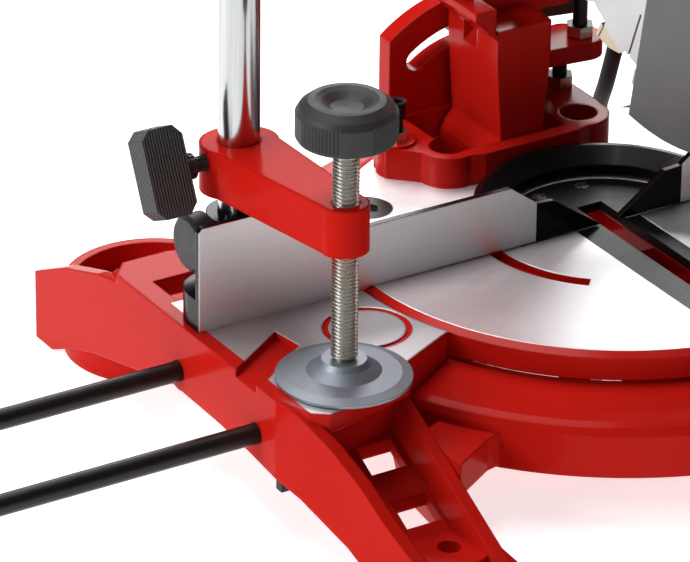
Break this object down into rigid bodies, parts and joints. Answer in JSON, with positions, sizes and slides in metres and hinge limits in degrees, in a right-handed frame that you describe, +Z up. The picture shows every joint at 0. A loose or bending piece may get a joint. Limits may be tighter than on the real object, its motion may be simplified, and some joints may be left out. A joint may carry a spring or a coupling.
{
  "type": "mitre saw",
  "caption": "Compact red mitre saw: turntable on a cast base, tilting chop head with motor and guard, split fence, screw work clamp and pull-out support bars.",
  "frame": {"origin": "bench plane under the mitre axis, at the centre of the four bench bolt holes", "axes": "+X along the fence to the right, +Y from the operator to the back, +Z up"},
  "size_m": [0.638, 0.4005, 0.387],
  "materials": {
    "red_paint": "glossy red powder coat on cast metal",
    "black_paint": "glossy black powder coat on cast metal",
    "black_plastic": "moulded black plastic",
    "grey_plastic": "moulded grey plastic",
    "red_plastic": "moulded red plastic",
    "black_steel": "blackened steel",
    "zinc": "zinc-plated steel",
    "steel": "bare steel",
    "cast_aluminium": "grey cast aluminium",
    "copper_windings": "varnished copper on iron",
    "cord_rubber": "black rubber"
  },
  "bodies": {
    "base": {"base_casting": "red_paint", "mitre_scale": "zinc", "pivot_bolt": "steel", "fence": "black_paint", "fence_bolts": "black_steel", "cord_floor": "cord_rubber", "cord_coil": "cord_rubber", "cord_plug": "cord_rubber"},
    "left_bar": {"left_support_bar": "black_steel"},
    "right_bar": {"right_support_bar": "black_steel"},
    "left_bar_screw": {"left_bar_screw": "black_plastic"},
    "right_bar_screw": {"right_bar_screw": "black_plastic"},
    "clamp_pillar": {"clamp_pillar": "zinc"},
    "pillar_lock": {"pillar_lock_knob": "black_plastic"},
    "clamp_arm": {"clamp_arm": "red_paint"},
    "clamp_thumbscrew": {"clamp_thumbscrew": "black_plastic"},
    "clamp_pad": {"clamp_pad": "zinc"},
    "clamp_spindle": {"clamp_spindle": "zinc", "clamp_knob": "black_plastic"},
    "turntable": {"turntable": "red_paint", "kerf_insert": "black_plastic", "insert_screws": "zinc", "table_screws": "black_steel", "hinge_bracket": "red_paint", "bracket_bolts": "steel", "bevel_stop_45": "black_steel", "bevel_stop_0": "black_steel", "bevel_pin": "steel"},
    "mitre_lock": {"mitre_lock_knob": "black_plastic"},
    "tilt_arm": {"tilt_arm": "red_paint", "arm_stop_screw": "black_steel", "chop_pin": "steel", "return_spring": "steel", "cord_mid": "cord_rubber"},
    "bevel_lock": {"bevel_lock_lever": "black_plastic"},
    "latch_pin": {"latch_pin": "black_plastic"},
    "head": {"blade_housing": "red_paint", "gear_case": "cast_aluminium", "motor_housing": "black_plastic", "motor_cap": "black_plastic", "stator": "copper_windings", "bearings": "steel", "handle_left": "black_plastic", "handle_right": "black_plastic", "handle_screws": "zinc", "dust_port": "black_plastic", "strain_relief": "cord_rubber", "cord_drop": "cord_rubber"},
    "trigger": {"trigger": "red_plastic"},
    "lock_off": {"lock_off_button": "red_plastic"},
    "spindle_lock": {"spindle_lock": "black_plastic"},
    "blade": {"saw_blade": "steel", "blade_flanges": "steel", "blade_bolt": "black_steel", "arbor_shaft": "steel", "drive_gear": "steel"},
    "rotor": {"rotor": "copper_windings"},
    "guard": {"moving_guard": "grey_plastic"}
  },
  "joints": [
    {"name": "mitre", "type": "hinge", "parent": "base", "child": "turntable", "pos_m": [0, 0, 0.056], "axis": [0, 0, -1], "range_deg": [-45, 45]},
    {"name": "bevel", "type": "hinge", "parent": "turntable", "child": "tilt_arm", "pos_m": [0, 0.08, 0.056], "axis": [0, 1, 0], "range_deg": [-45, 0], "deforming": ["cord_mid", "cord_floor"]},
    {"name": "chop", "type": "hinge", "parent": "tilt_arm", "child": "head", "pos_m": [0, 0.0902, 0.151], "axis": [1, 0, 0], "range_deg": [0, 33.7], "stiffness_Nm_per_rad": 8, "springref_deg": -60.16, "deforming": ["cord_drop", "cord_mid", "return_spring"]},
    {"name": "guard_swing", "type": "hinge", "parent": "head", "child": "guard", "pos_m": [0, -0.043, 0.222], "axis": [1, 0, 0], "range_deg": [-130, 0]},
    {"name": "blade_spin", "type": "hinge", "parent": "head", "child": "blade", "pos_m": [0, -0.043, 0.222], "axis": [1, 0, 0], "continuous": true},
    {"name": "rotor_spin", "type": "hinge", "parent": "head", "child": "rotor", "pos_m": [0.09, -0.0205, 0.252], "axis": [1, 0, 0], "continuous": true},
    {"name": "trigger_press", "type": "slide", "parent": "head", "child": "trigger", "axis": [0, -0.2419, 0.9703], "range_m": [0, 0.005], "stiffness_N_per_m": 400, "springref_m": -0.004},
    {"name": "lock_off_press", "type": "slide", "parent": "head", "child": "lock_off", "axis": [1, 0, 0], "range_m": [0, 0.004], "stiffness_N_per_m": 400, "springref_m": -0.003},
    {"name": "spindle_lock_press", "type": "slide", "parent": "head", "child": "spindle_lock", "axis": [-1, 0, 0], "range_m": [0, 0.004], "stiffness_N_per_m": 400, "springref_m": -0.003},
    {"name": "latch_slide", "type": "slide", "parent": "tilt_arm", "child": "latch_pin", "axis": [-1, 0, 0], "range_m": [0, 0.012]},
    {"name": "bevel_lock_turn", "type": "hinge", "parent": "tilt_arm", "child": "bevel_lock", "pos_m": [0.00764, 0.115, 0.09933], "axis": [0, 1, 0], "range_deg": [-30, 30]},
    {"name": "mitre_lock_turn", "type": "hinge", "parent": "turntable", "child": "mitre_lock", "pos_m": [0, -0.2, 0.033], "axis": [0, 1, 0], "range_deg": [-180, 180]},
    {"name": "left_bar_slide", "type": "slide", "parent": "base", "child": "left_bar", "axis": [1, 0, 0], "range_m": [-0.012, 0.036]},
    {"name": "right_bar_slide", "type": "slide", "parent": "base", "child": "right_bar", "axis": [-1, 0, 0], "range_m": [-0.012, 0.036]},
    {"name": "left_bar_screw_turn", "type": "hinge", "parent": "base", "child": "left_bar_screw", "pos_m": [-0.166, -0.046, 0.015], "axis": [0, 0, 1], "range_deg": [-180, 180]},
    {"name": "right_bar_screw_turn", "type": "hinge", "parent": "base", "child": "right_bar_screw", "pos_m": [0.166, -0.046, 0.015], "axis": [0, 0, 1], "range_deg": [-180, 180]},
    {"name": "pillar_turn", "type": "hinge", "parent": "base", "child": "clamp_pillar", "pos_m": [-0.156, 0.019, 0.076], "axis": [0, 0, 1], "range_deg": [-30, 10]},
    {"name": "pillar_lock_turn", "type": "hinge", "parent": "base", "child": "pillar_lock", "pos_m": [-0.18, 0.019, 0.0835], "axis": [1, 0, 0], "range_deg": [-180, 180]},
    {"name": "arm_height", "type": "slide", "parent": "clamp_pillar", "child": "clamp_arm", "axis": [0, 0, 1], "range_m": [0, 0.045]},
    {"name": "thumbscrew_turn", "type": "hinge", "parent": "clamp_arm", "child": "clamp_thumbscrew", "pos_m": [-0.18, 0.019, 0.1156], "axis": [1, 0, 0], "range_deg": [-90, 90]},
    {"name": "pad_feed", "type": "slide", "parent": "clamp_arm", "child": "clamp_pad", "axis": [0, 0, 1], "range_m": [0, 0.036]},
    {"name": "spindle_turn", "type": "hinge", "parent": "clamp_pad", "child": "clamp_spindle", "pos_m": [-0.156, -0.057, 0.116], "axis": [0, 0, 1], "range_deg": [0, 8640]}
  ],
  "couplings": [
    {"joint": "guard_swing", "follows": "chop", "ratio": -3.8},
    {"joint": "rotor_spin", "follows": "blade_spin", "ratio": -5},
    {"joint": "spindle_turn", "follows": "pad_feed", "rad_per_m": 4188.8}
  ]
}
